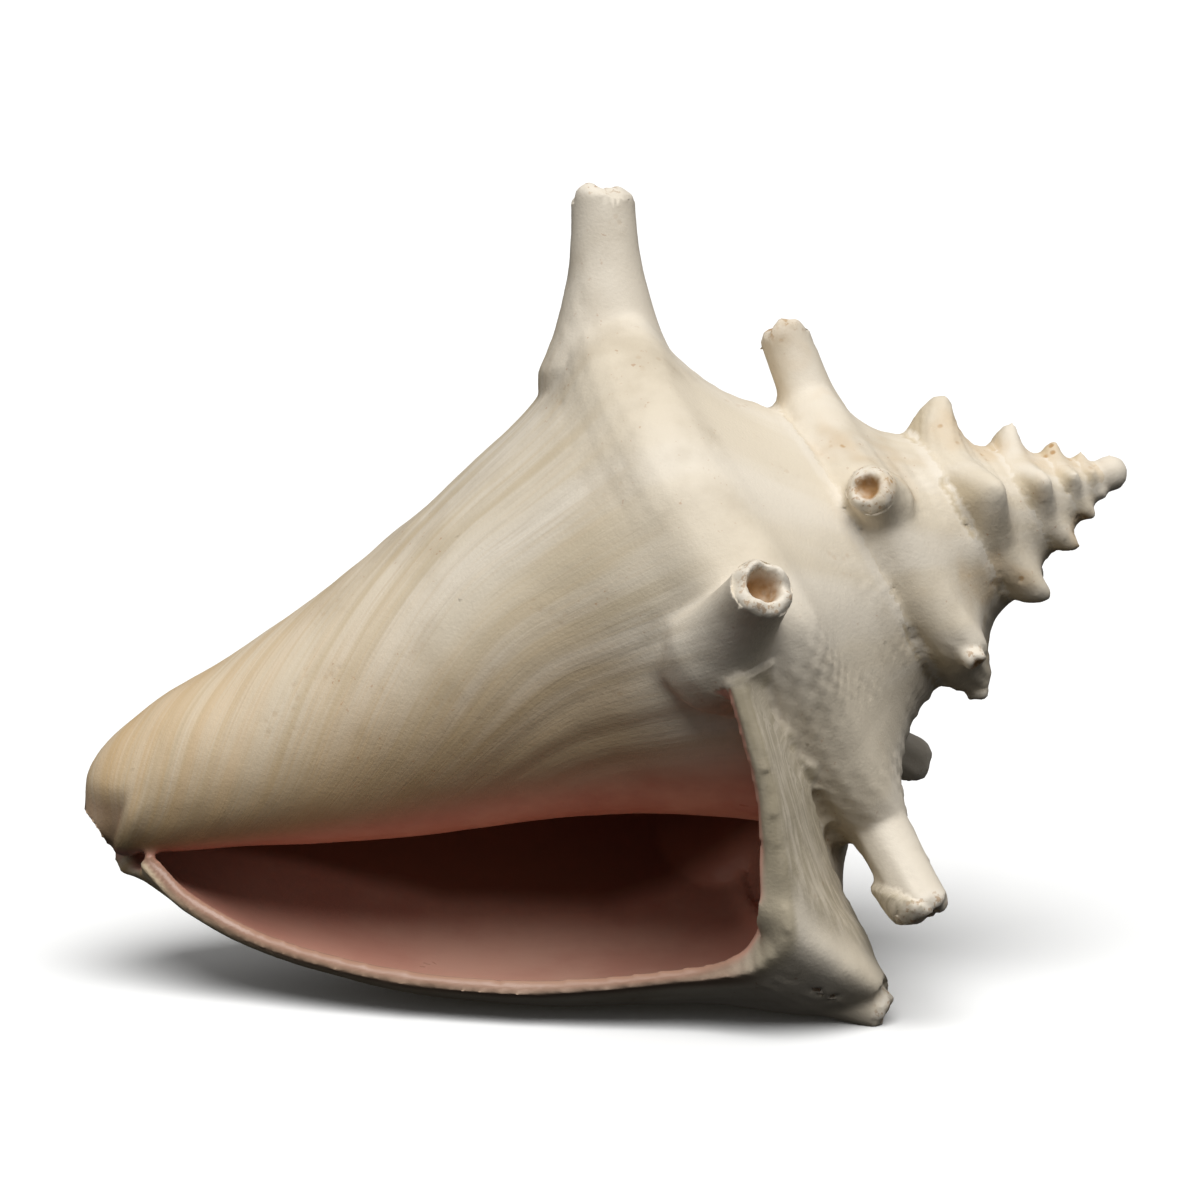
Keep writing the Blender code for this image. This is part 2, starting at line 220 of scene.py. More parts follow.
def rises(turn):
    """How far (along, out) the spines and knobs move each control point at this turn."""
    moves = np.zeros((len(TENT_WEIGHTS), 2))
    for spine, (root_turn, root) in zip(SPINES, FEET):
        fall = math.exp(-abs((turn - root_turn) / spine.spread) ** 1.5)
        weights = TENT_WEIGHTS + spine.web * WEB_WEIGHTS
        moves += weights[:, None] * (np.array(spine.tip) - root) * spine.tent * fall
    if turn < KNOB_LIMIT:
        step = (turn - KNOB_FIRST) / KNOB_STEP
        fall = math.exp(-abs((step - round(step)) / KNOB_SPREAD) ** 1.5)
        moves += TENT_WEIGHTS[:, None] * LIP_ALONG * GROWTH ** turn * np.array(KNOB_RISE) * fall
    return moves


LINE_POINTS = 90
LINE_STEP = 0.004


def section(turn):
    """LINE_POINTS points (along, out) of the whorl's outer line at this turn."""
    points = bare_controls(turn) + rises(turn)
    lengths = np.concatenate([[0], np.cumsum(np.linalg.norm(np.diff(points, axis=0), axis=1))])
    slopes = np.gradient(points, lengths, axis=0)
    at = np.linspace(0, lengths[-1], LINE_POINTS)
    i = np.clip(np.searchsorted(lengths, at, side="right") - 1, 0, len(lengths) - 2)
    step = (lengths[i + 1] - lengths[i])[:, None]
    x = (at - lengths[i])[:, None] / step
    return hermite(x, step, points[i], points[i + 1], slopes[i], slopes[i + 1])


LINE_COUNT = int((LAST_TURN - FIRST_TURN) / LINE_STEP)
LINES = np.array([section(FIRST_TURN + k * LINE_STEP) for k in range(LINE_COUNT)])


def lines_at(turns):
    """The whorl's outer lines at an array of turns, read between the ones worked out."""
    at = np.clip((np.asarray(turns, float) - FIRST_TURN) / LINE_STEP, 0, len(LINES) - 2.001)
    low = at.astype(int)
    mix = (at - low)[..., None, None]
    return LINES[low] * (1 - mix) + LINES[low + 1] * mix


LAY = Matrix.Rotation(-LEAN_BACK, 3, "X")
AXIS = np.array(LAY @ Vector((-math.cos(AXIS_SLOPE), 0.0, -math.sin(AXIS_SLOPE))))
FORWARD = np.array(LAY @ Vector((0.0, -1.0, 0.0)))
UPWARD = np.array(LAY @ Vector((-math.sin(AXIS_SLOPE), 0.0, math.cos(AXIS_SLOPE))))
APEX = np.array(APEX_AT)


def place(turns, along, out):
    """World points from arrays of the shell's own measures."""
    angle = (LIP_ANGLE + 2 * math.pi * np.asarray(turns, float))[..., None]
    outward = np.cos(angle) * FORWARD + np.sin(angle) * UPWARD
    return APEX + np.asarray(along, float)[..., None] * AXIS + np.asarray(out, float)[..., None] * outward


def skin(parts, rings):
    """Adds closed rings of points to the list of parts, joined with faces and capped at both ends."""
    rings = np.asarray(rings)
    rows, count = rings.shape[:2]
    start = sum(len(points) for points, _ in parts)
    index = start + np.arange(rows * count).reshape(rows, count)
    after = np.roll(index, -1, axis=1)
    faces = np.stack([index[:-1], after[:-1], after[1:], index[1:]], axis=-1).reshape(-1, 4)
    j = np.arange(count // 2 - 1)
    strip = np.stack([j, j + 1, count - 2 - j, count - 1 - j], axis=-1)
    faces = np.concatenate([faces, index[0][strip[:, ::-1]], index[-1][strip]])
    parts.append((rings.reshape(-1, 3), faces))


def wall_at(share):
    """The wall's thickness at a share of the section. It fills the corner under the shoulder."""
    centre, spread = CORNER_SHARE
    return WALL * (1 + CORNER_FILL * np.exp(-((share - centre) / spread) ** 2))


def add_core(parts):
    """The filled inner whorls."""
    turns = np.arange(FIRST_TURN, CORE_END, CORE_STEP)
    lines = lines_at(turns)
    wide = np.broadcast_to(turns[:, None], lines.shape[:2])
    outer = place(wide, lines[..., 0], lines[..., 1])
    hub = place(wide, lines[..., 0], np.full(lines.shape[:2], HUB))[:, ::-1]
    skin(parts, np.concatenate([outer, hub], axis=1))


def add_wall(parts):
    """The last whorl, a wall round the open hollow, out to the lip's edge."""
    shares = np.linspace(0, 1, LINE_POINTS)
    edge = np.interp(shares, LIP_SHARES, LIP_TURNS)
    rows = np.linspace(0, 1, WALL_ROWS)[:, None]
    turns = WALL_START + rows * (edge - WALL_START)[None, :]
    column = np.arange(LINE_POINTS)
    lines = lines_at(turns)[:, column, column]
    ahead = np.gradient(lines, axis=1)
    normal = np.stack([-ahead[..., 1], ahead[..., 0]], axis=-1)
    normal /= np.linalg.norm(normal, axis=-1, keepdims=True)
    deep = lines - normal * wall_at(shares)[None, :, None]
    deep[..., 1] = np.maximum(deep[..., 1], HUB)
    outer = place(turns, lines[..., 0], lines[..., 1])
    inner = place(turns, deep[..., 0], deep[..., 1])
    start = np.array([suture(turn) * WALL_FOOT for turn in turns[:, 0]])
    outer_foot = place(turns[:, :1], start[:, :1], start[:, 1:])
    inner_foot = place(turns[:, :1], start[:, :1] + WALL, start[:, 1:])
    skin(parts, np.concatenate([outer_foot, outer, inner[:, ::-1], inner_foot], axis=1))


def round_axis(points):
    """For each world point: distance along the axis, distance out from it, and the angle round it."""
    offset = points - APEX
    along = offset @ AXIS
    across = offset - along[:, None] * AXIS
    return along, np.linalg.norm(across, axis=1), np.arctan2(across @ UPWARD, across @ FORWARD)


def nearest_on(lines, here):
    """For each (along, out): the nearest point of its line, its number, the way ahead, and the gap."""
    gap = np.linalg.norm(lines - here[:, None], axis=2)
    j = np.argmin(gap, axis=1)
    row = np.arange(len(j))
    ahead = lines[row, np.minimum(j + 1, LINE_POINTS - 1)] - lines[row, np.maximum(j - 1, 0)]
    return lines[row, j], j, ahead, gap[row, j]


def whorl_measures(points):
    """For each world point: turn, share along the section, and height above the whorl's outer line."""
    along, out, angle = round_axis(points)
    part = np.mod((angle - LIP_ANGLE) / (2 * math.pi), 1.0)
    here = np.stack([along, out], axis=1)
    best = np.full(len(points), 1e9)
    found = np.zeros((len(points), 3))
    for whorl in range(-1, -7, -1):
        turn = part + whorl
        for at in range(0, len(points), POINTS_AT_ONCE):
            cut = slice(at, at + POINTS_AT_ONCE)
            nearest, j, ahead, gap = nearest_on(lines_at(turn[cut]), here[cut])
            off = here[cut] - nearest
            length = np.linalg.norm(ahead, axis=1)
            reach = np.sum(off * ahead, axis=1) / length**2
            share = np.clip((j + 2 * reach) / (LINE_POINTS - 1), 0, 1)
            height = (ahead[:, 0] * off[:, 1] - ahead[:, 1] * off[:, 0]) / length
            beyond = turn[cut] - np.interp(share, LIP_SHARES, LIP_TURNS)
            cost = gap + np.maximum(beyond - 0.004, 0) * 0.6
            better = cost < best[cut]
            best[cut] = np.where(better, cost, best[cut])
            values = np.stack([turn[cut], share, height], axis=1)
            found[cut] = np.where(better[:, None], values, found[cut])
    return found[:, 0], found[:, 1], found[:, 2]


def out_of_hollow(points, near_turn):
    """Moves points of a spine's foot out of the hollow whorl, into the middle of its wall."""
    along, out, angle = round_axis(points)
    turn = (angle - LIP_ANGLE) / (2 * math.pi)
    turn += np.round(near_turn - turn)
    here = np.stack([along, out], axis=1)
    nearest, _, ahead, _ = nearest_on(lines_at(turn), here)
    normal = np.stack([-ahead[:, 1], ahead[:, 0]], axis=1) / np.linalg.norm(ahead, axis=1)[:, None]
    too_deep = np.sum((nearest - here) * normal, axis=1) - 0.5 * WALL
    too_deep = np.where((turn > CORE_END) & (too_deep > 0), too_deep, 0.0)
    here = here + normal * too_deep[:, None]
    return np.where((too_deep > 0)[:, None], place(turn, here[:, 0], here[:, 1]), points)


Finger = namedtuple("Finger", "tip direction side other radius")


def add_finger(parts, spine, root_turn, root):
    """A spine's own tapered finger. Gives its tip, its way, two ways across it, and its radius."""
    start = place(root_turn, *root)
    tip = place(spine.turn, *spine.tip)
    direction = (tip - start) / np.linalg.norm(tip - start)
    side = np.cross(direction, AXIS)
    side /= np.linalg.norm(side)
    other = np.cross(direction, side)
    angles = np.linspace(0, 2 * math.pi, SIDES, endpoint=False)[None, :, None]
    reach = np.linspace(-FINGER_ROOT, 1, FINGER_RINGS)[:, None, None]
    radius = spine.radius * (1 + spine.flare * (1 - np.maximum(reach, 0)) ** FINGER_POWER)
    rings = start + reach * (tip - start) + radius * (np.cos(angles) * side + np.sin(angles) * other)
    skin(parts, out_of_hollow(rings.reshape(-1, 3), spine.turn).reshape(rings.shape))
    return Finger(tip, direction, side, other, spine.radius)


def ball(centre, size, pole, first, second):
    """Rings of points round a ball, or round an egg where the size is three numbers."""
    angles = np.linspace(0, 2 * math.pi, SIDES, endpoint=False)[None, :, None]
    tilt = np.linspace(POLE_GAP, math.pi - POLE_GAP, BALL_RINGS)[:, None, None]
    ring = np.cos(angles) * first + np.sin(angles) * second
    return centre + size * (np.sin(tilt) * ring - np.cos(tilt) * pole)


skins = []
add_core(skins)
add_wall(skins)
fingers = [add_finger(skins, spine, *foot_at) for spine, foot_at in zip(SPINES, FEET)]
skin(skins, ball(APEX + APEX_RADIUS * AXIS, APEX_RADIUS, AXIS, UPWARD, np.cross(AXIS, UPWARD)))
skin(skins, ball(np.array(FOLD_AT), FOLD_SIZE, *np.eye(3)))

mesh = bpy.data.meshes.new("conch_wall")
mesh.from_pydata(np.concatenate([p for p, _ in skins]).tolist(), [],
                 np.concatenate([f for _, f in skins]).tolist())
shell = bpy.data.objects.new("shell_skin", mesh)
bpy.context.scene.collection.objects.link(shell)


def settled(obj):
    """Works the object's modifiers into a plain mesh."""
    depsgraph = bpy.context.evaluated_depsgraph_get()
    mesh = bpy.data.meshes.new_from_object(obj.evaluated_get(depsgraph))
    obj.modifiers.clear()
    obj.data = mesh


def fields(mesh, name, width):
    """Reads a named value of every element, as an array of this width."""
    values = np.empty(len(mesh) * width)
    mesh.foreach_get(name, values)
    return values.reshape(-1, width)


remesh = shell.modifiers.new("one_skin", "REMESH")
remesh.mode = "VOXEL"
remesh.voxel_size = VOXEL
soften = shell.modifiers.new("soften", "SMOOTH")
soften.factor = 0.5
soften.iterations = 8
settled(shell)


def keep_largest(obj):
    """Drops the closed bubbles left between the fused whorls."""
    edges = np.empty(len(obj.data.edges) * 2, int)
    obj.data.edges.foreach_get("vertices", edges)
    edges = edges.reshape(-1, 2)
    label = np.arange(len(obj.data.vertices))
    while True:
        low = np.minimum(label[edges[:, 0]], label[edges[:, 1]])
        before = label.copy()
        np.minimum.at(label, edges[:, 0], low)
        np.minimum.at(label, edges[:, 1], low)
        label = label[label]
        if (label == before).all():
            break
    names, counts = np.unique(label, return_counts=True)
    main = names[np.argmax(counts)]
    bm = bmesh.new()
    bm.from_mesh(obj.data)
    bm.verts.ensure_lookup_table()
    loose = [bm.verts[i] for i in np.nonzero(label != main)[0]]
    bmesh.ops.delete(bm, geom=loose, context="VERTS")
    bm.to_mesh(obj.data)
    bm.free()


keep_largest(shell)

# Places that run out softly, with how far each reaches: the front spine's foot, the mouth's corner, the
# front end's fold and the wall behind the corner
SOFT_SPOTS = (((0.0138, -0.0618, 0.0712), 0.0075), ((0.0296, -0.0620, 0.0254), 0.0070),
              ((-0.0965, -0.0155, 0.0295), 0.0045), ((0.0325, 0.0165, 0.0155), 0.0060))
points = fields(shell.data.vertices, "co", 3)
soft_group = shell.vertex_groups.new(name="soft_spots")
for spot_at, spread in SOFT_SPOTS:
    weights = np.exp(-(np.linalg.norm(points - spot_at, axis=1) / spread) ** 2)
    for i in np.nonzero(weights > 0.03)[0]:
        soft_group.add([int(i)], float(weights[i]), "REPLACE")
run_out = shell.modifiers.new("soft_spots", "SMOOTH")
run_out.vertex_group = "soft_spots"
run_out.factor = 0.9
run_out.iterations = 70
settled(shell)
shell.vertex_groups.clear()

# How each spine is broken, in the order of SPINES: the hole's share of the tip's width, its depth, and
# how much the break slants
BREAKS = ((0.30, 0.0008, 0.2), (0.45, 0.0015, 0.1), (0.45, 0.0020, -0.1), (0.35, 0.0010, -0.30),
          (0.52, 0.0062, 0.10), (0.50, 0.0042, 0.25), (0.40, 0.0010, 0.1), (0.40, 0.0010, 0.2),
          (0.30, 0.0006, -0.35), (0.50, 0.0020, 0.05), (0.30, 0.0005, 0.1), (0.30, 0.0004, 0.1),
          (0.30, 0.0004, 0.1))
CHIPS_PER_METRE = 420.0
DENTS_PER_METRE = 170.0


def wear_tips(mesh):
    """Breaks the spines' ends: an uneven rim round a sunk middle."""
    points = fields(mesh.vertices, "co", 3)
    for finger, (hole, depth, slant) in zip(fingers, BREAKS):
        radius = finger.radius
        offset = points - finger.tip
        reach = offset @ finger.direction
        wide = np.hypot(offset @ finger.side, offset @ finger.other)
        at = np.nonzero((reach > -0.004) & (reach < 0.003) & (wide < radius * 1.5))[0]
        rough = np.array([noise3.noise(Vector(points[i] * CHIPS_PER_METRE)) for i in at])
        coarse = np.array([noise3.noise(Vector(points[i] * DENTS_PER_METRE)) for i in at])
        share = wide[at] / radius * (1 + 0.25 * coarse)
        drop = depth * (1 - ease(share, hole * 0.6, hole * 1.25))
        drop += slant * (offset[at] @ finger.side) * 0.8 + radius * 0.30 * ease(share, 0.60, 1.08)
        drop += 0.0011 * coarse + 0.0010 * rough + 0.0006
        points[at] -= finger.direction * (drop * ease(reach[at], -0.0035, -0.0006))[:, None]
    mesh.vertices.foreach_set("co", points.ravel())
    mesh.update()


wear_tips(shell.data)

# The painted shade of the mouth's deep hollow starts at these turns, by the place across the section
HOLLOW_SHARES = (0.1, 0.3, 0.4, 0.6, 0.7, 0.8, 1.0)
HOLLOW_TURNS = (-0.318, -0.316, -0.298, -0.313, -0.339, -0.378, -0.460)


def shoulder_share(turn):
    """How far across the section its shoulder lies."""
    lengths = np.linalg.norm(np.diff(bare_controls(turn), axis=0), axis=1)
    return lengths[:len(RAMP_SHARES) + 1].sum() / lengths.sum()


KNOWN_TURNS = np.linspace(FIRST_TURN, 0.0, 65)
KNOWN_SHOULDERS = [shoulder_share(known) for known in KNOWN_TURNS]


def front_end_measures(points):
    """The flat face of the front end, and the rounded edge beside it."""
    x, y, z = points.T
    beyond = -x - 0.1006 + 0.30 * (z - 0.034)
    low_down = 1 - ease(z, 0.037, 0.045)
    face = ease(beyond, -0.0006, 0.0010) * low_down * ease(-y, 0.004, 0.008)
    fold = np.exp(-((beyond + 0.0028) / 0.0020) ** 2) * low_down * ease(-y, 0.008, 0.012)
    return face, fold


def tip_measures(points):
    """Where the spines are broken off, and the holes in their ends."""
    broken = np.zeros(len(points))
    hole = np.zeros(len(points))
    for finger in fingers:
        offset = points - finger.tip
        reach = offset @ finger.direction
        wide = np.sqrt((offset @ finger.side) ** 2 + (offset @ finger.other) ** 2)
        radius = finger.radius
        broken = np.maximum(broken, ease(reach, -0.0034, -0.0014) * (wide < radius * 1.35))
        hole = np.maximum(hole, (1 - ease(wide, radius * 0.42, radius * 0.58)) * (np.abs(reach) < 0.008))
    return broken, hole


def blurred(mesh, values, rounds=4):
    """The points' values, each averaged with its neighbours' a few times."""
    edges = fields(mesh.edges, "vertices", 2).astype(int)
    for _ in range(rounds):
        total = values + 0.0
        count = np.ones(len(values))
        for a, b in ((0, 1), (1, 0)):
            np.add.at(total, edges[:, a], values[edges[:, b]])
            np.add.at(count, edges[:, a], 1.0)
        values = total / count
    return values


def write_measures(mesh):
    """Stores the shell's own measures on the mesh's points, for the relief and the colours."""
    points = fields(mesh.vertices, "co", 3)
    turn, share, height = whorl_measures(points)
    lip = np.interp(share, LIP_SHARES, LIP_TURNS)
    growth = turn - lip
    young = ease(turn, -0.50, -0.20)
    towards_front = np.maximum((share - 0.42) / 0.58, 0)
    lag = -0.50 * towards_front ** 1.8 - 0.05 * np.maximum(1 - share / 0.2, 0) ** 2
    grain = turn - young * lip - (1 - young) * lag
    along = (points - APEX) @ AXIS
    below_suture = ease(along - LIP_ALONG * GROWTH ** (turn + 1), 0.0005, 0.005)
    old_wall = below_suture * (turn < -0.84) * (turn > -1.9)
    under_lip = growth + 1
    glaze = (1 - ease(under_lip, 0.03, 0.10)) * old_wall
    # Painted shade: the body just past the glaze, beside the mouth, is painted a darker brown for the shade
    # that falls there
    belly_shade = (1 - ease(under_lip, 0.10, 0.27)) * old_wall * ease(share, 0.30, 0.42)
    face = 0.45 - 0.25 * ease(share, 0.26, 0.34)
    inner = ease(-height / wall_at(share), face, face + 0.28) * (turn > CORE_END - 0.06)
    end_face, end_fold = front_end_measures(points)
    inner = inner * (1 - end_face) * (1 - end_fold)
    # deep: the hollow far inside the mouth, its deeper salmon-brown painted darker still as shade
    hollow = np.interp(share, HOLLOW_SHARES, HOLLOW_TURNS)
    deep = inner * (1 - ease(turn, hollow - 0.022, hollow + 0.006))
    deep = np.maximum(deep, old_wall * (1 - ease(under_lip, -0.13, -0.03)))

    shoulder = np.interp(turn, KNOWN_TURNS, KNOWN_SHOULDERS)
    older = ease(-turn, 1.04, 1.14)
    below_shoulder = ease(share - shoulder, 0.0, 0.05) * (1 - old_wall) * older
    edge_ridge = np.exp(-((share - shoulder + 0.012) / 0.020) ** 2) * older * (share < 0.35)
    step = blurred(mesh, (0.0012 * edge_ridge - 0.0044 * below_shoulder) * GROWTH ** turn)
    step = step - 0.0011 * end_face + 0.0007 * end_fold

    at_lip = turn > -0.2
    past_corner = ease(share, 0.20, 0.28)
    rim = ease(growth, -0.011, -0.004) * past_corner * at_lip
    cut_face = ease(growth, -0.008, -0.003) * (1 - past_corner) * at_lip
    ragged = np.array([noise3.noise(Vector((t * 60.0, s * 9.0, 0.5))) for t, s in zip(turn, share)])
    lip_sheet = ease(growth + ragged * 0.012, -0.110, -0.104) * (1 - ease(share, 0.09, 0.13)) * at_lip
    over_old = ease(share + ragged * 0.02, 0.217, 0.225) * (1 - below_suture) * (share < 0.5)
    lip_sheet = np.maximum(lip_sheet, over_old * (turn > -1.085) * (turn < -0.995))
    broken, hole = tip_measures(points)

    measures = {"turn": turn, "share": share, "growth": growth, "grain": grain, "inner": inner,
                "glaze": glaze, "deep": deep, "belly_shade": belly_shade, "rim": rim, "step": step,
                "cut_face": cut_face, "lip_sheet": lip_sheet, "below": below_shoulder,
                "end_face": end_face, "broken": broken, "hole": hole}
    for name, values in measures.items():
        if name in mesh.attributes:
            mesh.attributes.remove(mesh.attributes[name])
        mesh.attributes.new(name, "FLOAT", "POINT").data.foreach_set("value", values.astype(np.float32))


write_measures(shell.data)


class Wire:
    """One output of a node. Sums of wires and numbers add Math nodes."""

    def __init__(self, board, socket):
        self.board = board
        self.socket = socket

    def sum(self, operation, *others):
        return self.board.add("ShaderNodeMath", {"operation": operation}, dict(enumerate((self, *others))))

    def __add__(self, other):
        return self.sum("ADD", other)

    def __sub__(self, other):
        return self.sum("SUBTRACT", other)

    def __mul__(self, other):
        return self.sum("MULTIPLY", other)

    def __neg__(self):
        return self * -1.0

    def __rsub__(self, other):
        return -self + other

    def ramp(self, low, high):
        """0 below low, 1 above high, smooth between. low may be above high."""
        return self.board.add("ShaderNodeMapRange", {"interpolation_type": "SMOOTHSTEP"},
                              {"Value": self, "From Min": low, "From Max": high})


class Board:
    """A node tree that nodes are added to."""

    def __init__(self, tree):
        self.tree = tree

    def add(self, kind, settings=None, sockets=None, output=0):
        """Adds a node with settings, and values or wires on its sockets. Gives one output."""
        node = self.tree.nodes.new(kind)
        for name, value in (settings or {}).items():
            setattr(node, name, value)
        for name, value in (sockets or {}).items():
            if isinstance(value, Wire):
                self.tree.links.new(value.socket, node.inputs[name])
            else:
                node.inputs[name].default_value = value
        return Wire(self, node.outputs[output] if node.outputs else None)


# Pits and wear, which the relief sinks and the colours darken at nearly the same places, most on the spire
PIT_SCALE = 420.0
WORN_SCALE = 75.0
WORN_AT = (0.60, 0.68)
SPIRE_TURNS = (-1.45, -1.9)


def relief_tree(material):
    """Threads along the whorl, growth ridges across it, soft lumps and pits, as heights on the skin."""
    tree = bpy.data.node_groups.new("shell_relief", "GeometryNodeTree")
    board = Board(tree)
    tree.interface.new_socket("Geometry", in_out="INPUT", socket_type="NodeSocketGeometry")
    tree.interface.new_socket("Geometry", in_out="OUTPUT", socket_type="NodeSocketGeometry")
    sizes = {"Thread height": 0.00030, "Thread count": 46.0, "Ridge height": 0.00004,
             "Fold height": 0.00012, "Swell height": 0.00062, "Lump height": 0.0004,
             "Pit depth": 0.00045, "Sheet height": 0.0010, "Sheet roughness": 0.00022, "Seed": 7.0}
    for name, value in sizes.items():
        socket = tree.interface.new_socket(name, in_out="INPUT", socket_type="NodeSocketFloat")
        socket.default_value = value
    entry = tree.nodes.new("NodeGroupInput")
    given = {socket.name: Wire(board, socket) for socket in entry.outputs if socket.name}

    def measure(name):
        """A number stored on the shell's points."""
        return board.add("GeometryNodeInputNamedAttribute", {"data_type": "FLOAT"}, {"Name": name})

    def cloudy(x, y, z, detail, roughness):
        """Noise round 0 at a place made of three numbers."""
        at = board.add("ShaderNodeCombineXYZ", {}, {0: x, 1: y, 2: z})
        return board.add("ShaderNodeTexNoise", {"noise_dimensions": "3D"},
                         {"Vector": at, "Scale": 1.0, "Detail": detail, "Roughness": roughness}) - 0.5

    turn, share, grain, growth = measure("turn"), measure("share"), measure("grain"), measure("growth")
    inner, broken, lip_sheet = measure("inner"), measure("broken"), measure("lip_sheet")
    glaze, rim, step = measure("glaze"), measure("rim"), measure("step")
    whorl_size = board.add("ShaderNodeMath", {"operation": "POWER"}, {0: GROWTH, 1: turn})
    outside = (1.0 - inner) * (1.0 - broken) * (1.0 - glaze * 0.9)
    seed = given["Seed"]

    wander = cloudy(grain * 20.0, share * 8.0, seed + 2.0, 2.0, 0.5)
    threads = (share * given["Thread count"] * (2 * math.pi) + wander * 3.0).sum("COSINE")
    beads = (grain * 480.0 + wander * 4.0).sum("COSINE") * 0.7 + 0.8
    here = turn.ramp(-0.93, -1.02) * 0.75 + 0.25
    patchy = cloudy(grain * 9.0, share * 5.0, seed + 3.0, 2.0, 0.5).ramp(-0.12, 0.10)
    on_ramp = share.ramp(0.34, 0.24) * patchy
    thread_relief = threads * beads * on_ramp * here * given["Thread height"] * (whorl_size + 0.1)
    ridge_relief = cloudy(grain * 230.0, share * 5.0, seed, 4.0, 0.6) * 2.0 * given["Ridge height"]
    ridge_relief = ridge_relief * (share.ramp(0.18, 0.32) + 0.15)
    on_shoulder = share.ramp(0.04, 0.16) * share.ramp(0.66, 0.44)
    fold_relief = cloudy(grain * 90.0, share * 3.0, seed + 4.0, 2.0, 0.45) * 2.0 * given["Fold height"]
    swells = cloudy(grain * 38.0, share * 1.6, seed + 5.0, 1.0, 0.4) * 2.0 * given["Swell height"]
    fold_relief = (fold_relief + swells) * (on_shoulder + 0.12) * (whorl_size + 0.25)
    fold_relief = fold_relief * (1.0 - share.ramp(0.30, 0.20) * 0.6)

    place_at = board.add("GeometryNodeInputPosition")
    lumps = board.add("ShaderNodeTexNoise", {"noise_dimensions": "4D"},
                      {"Vector": place_at, "W": seed, "Scale": 60.0, "Detail": 3.0, "Roughness": 0.5})
    lump_relief = (lumps - 0.5) * 2.0 * given["Lump height"] * (whorl_size + 0.35)

    cells = board.add("ShaderNodeTexVoronoi", {"voronoi_dimensions": "3D"},
                      {"Vector": place_at, "Scale": PIT_SCALE, "Randomness": 1.0})
    worn = board.add("ShaderNodeTexNoise", {"noise_dimensions": "3D"},
                     {"Vector": place_at, "Scale": WORN_SCALE, "Detail": 2.0, "Roughness": 0.5})
    spire = turn.ramp(*SPIRE_TURNS)
    pits = cells.ramp(0.34, 0.12) * worn.ramp(*WORN_AT) * (spire + 0.25)
    sheet_relief = cloudy(growth * 70.0, share * 90.0, seed + 9.0, 4.0, 0.65) * 2.0 * given["Sheet roughness"]
    sheet_relief = sheet_relief + given["Sheet height"]
    total = (thread_relief + ridge_relief + fold_relief) * outside + lump_relief * (1.0 - inner * 0.7)
    total = total - pits * given["Pit depth"] * outside + sheet_relief * lip_sheet * (1.0 - inner)
    total = total - rim * 0.00045 * (1.0 - inner) + step
    normal = board.add("GeometryNodeInputNormal")
    shift = board.add("ShaderNodeVectorMath", {"operation": "SCALE"}, {0: normal, "Scale": total})
    moved = board.add("GeometryNodeSetPosition", {}, {"Geometry": given["Geometry"], "Offset": shift})
    painted = board.add("GeometryNodeSetMaterial", {}, {"Geometry": moved, "Material": material})
    realized = board.add("GeometryNodeRealizeInstances", {}, {"Geometry": painted})
    leave = tree.nodes.new("NodeGroupOutput")
    tree.links.new(realized.socket, leave.inputs[0])
    return tree


def linear(*shades):
    """A linear colour from 0 to 255 screen values."""
    return (*((c / 255 / 12.92) if c < 11 else ((c / 255 + 0.055) / 1.055) ** 2.4 for c in shades), 1.0)


# The shell's colours, as screen values
CREAM = linear(213, 201, 180)
CHALK = linear(224, 215, 200)
GREY_BEIGE = linear(176, 162, 139)
OCHRE = linear(200, 168, 122)
SALMON = linear(222, 175, 154)
ROSE = linear(200, 138, 120)
# Deeper salmon-brown of the mouth's hollow, darkened further as painted shade
SALMON_BROWN_AND_SHADE = linear(136, 88, 70)
SHEET_GREY = linear(178, 166, 141)
RIM_BROWN = linear(150, 120, 100)
TAN = linear(160, 120, 72)
RUST = linear(160, 108, 66)
BAND = linear(186, 168, 134)
# A brown that paints the shade on the body beside the mouth
BELLY_SHADE = linear(172, 144, 103)

shell_skin = bpy.data.materials.new("shell_skin")
shell_skin.use_nodes = True
shell_skin.node_tree.nodes.clear()
paint = Board(shell_skin.node_tree)


def field(name):
    """A number stored on the shell's points."""
    return paint.add("ShaderNodeAttribute", {"attribute_name": name}, {}, output=2)


def blend(mask, base, top):
    """top over base where the mask is 1."""
    return paint.add("ShaderNodeMix", {"data_type": "RGBA"}, {0: mask, 6: base, 7: top}, output=2)


turn, share, grain, hole = field("turn"), field("share"), field("grain"), field("hole")
inner, glaze, broken, deep = field("inner"), field("glaze"), field("broken"), field("deep")
rim, lip_sheet = field("rim"), field("lip_sheet")
spot = paint.add("ShaderNodeTexCoord", output=3)


def noise(vector, scale, detail=3.0, roughness=0.5):
    """Cloudy noise, about 0 to 1."""
    return paint.add("ShaderNodeTexNoise", {"noise_dimensions": "3D"},
                     {"Vector": vector, "Scale": scale, "Detail": detail, "Roughness": roughness})


def along_growth(across, down, offset, detail=5.0, roughness=0.62):
    """Noise drawn out along the growth lines."""
    at = paint.add("ShaderNodeCombineXYZ", {}, {0: grain * across, 1: share * down, 2: offset})
    return noise(at, 1.0, detail, roughness)


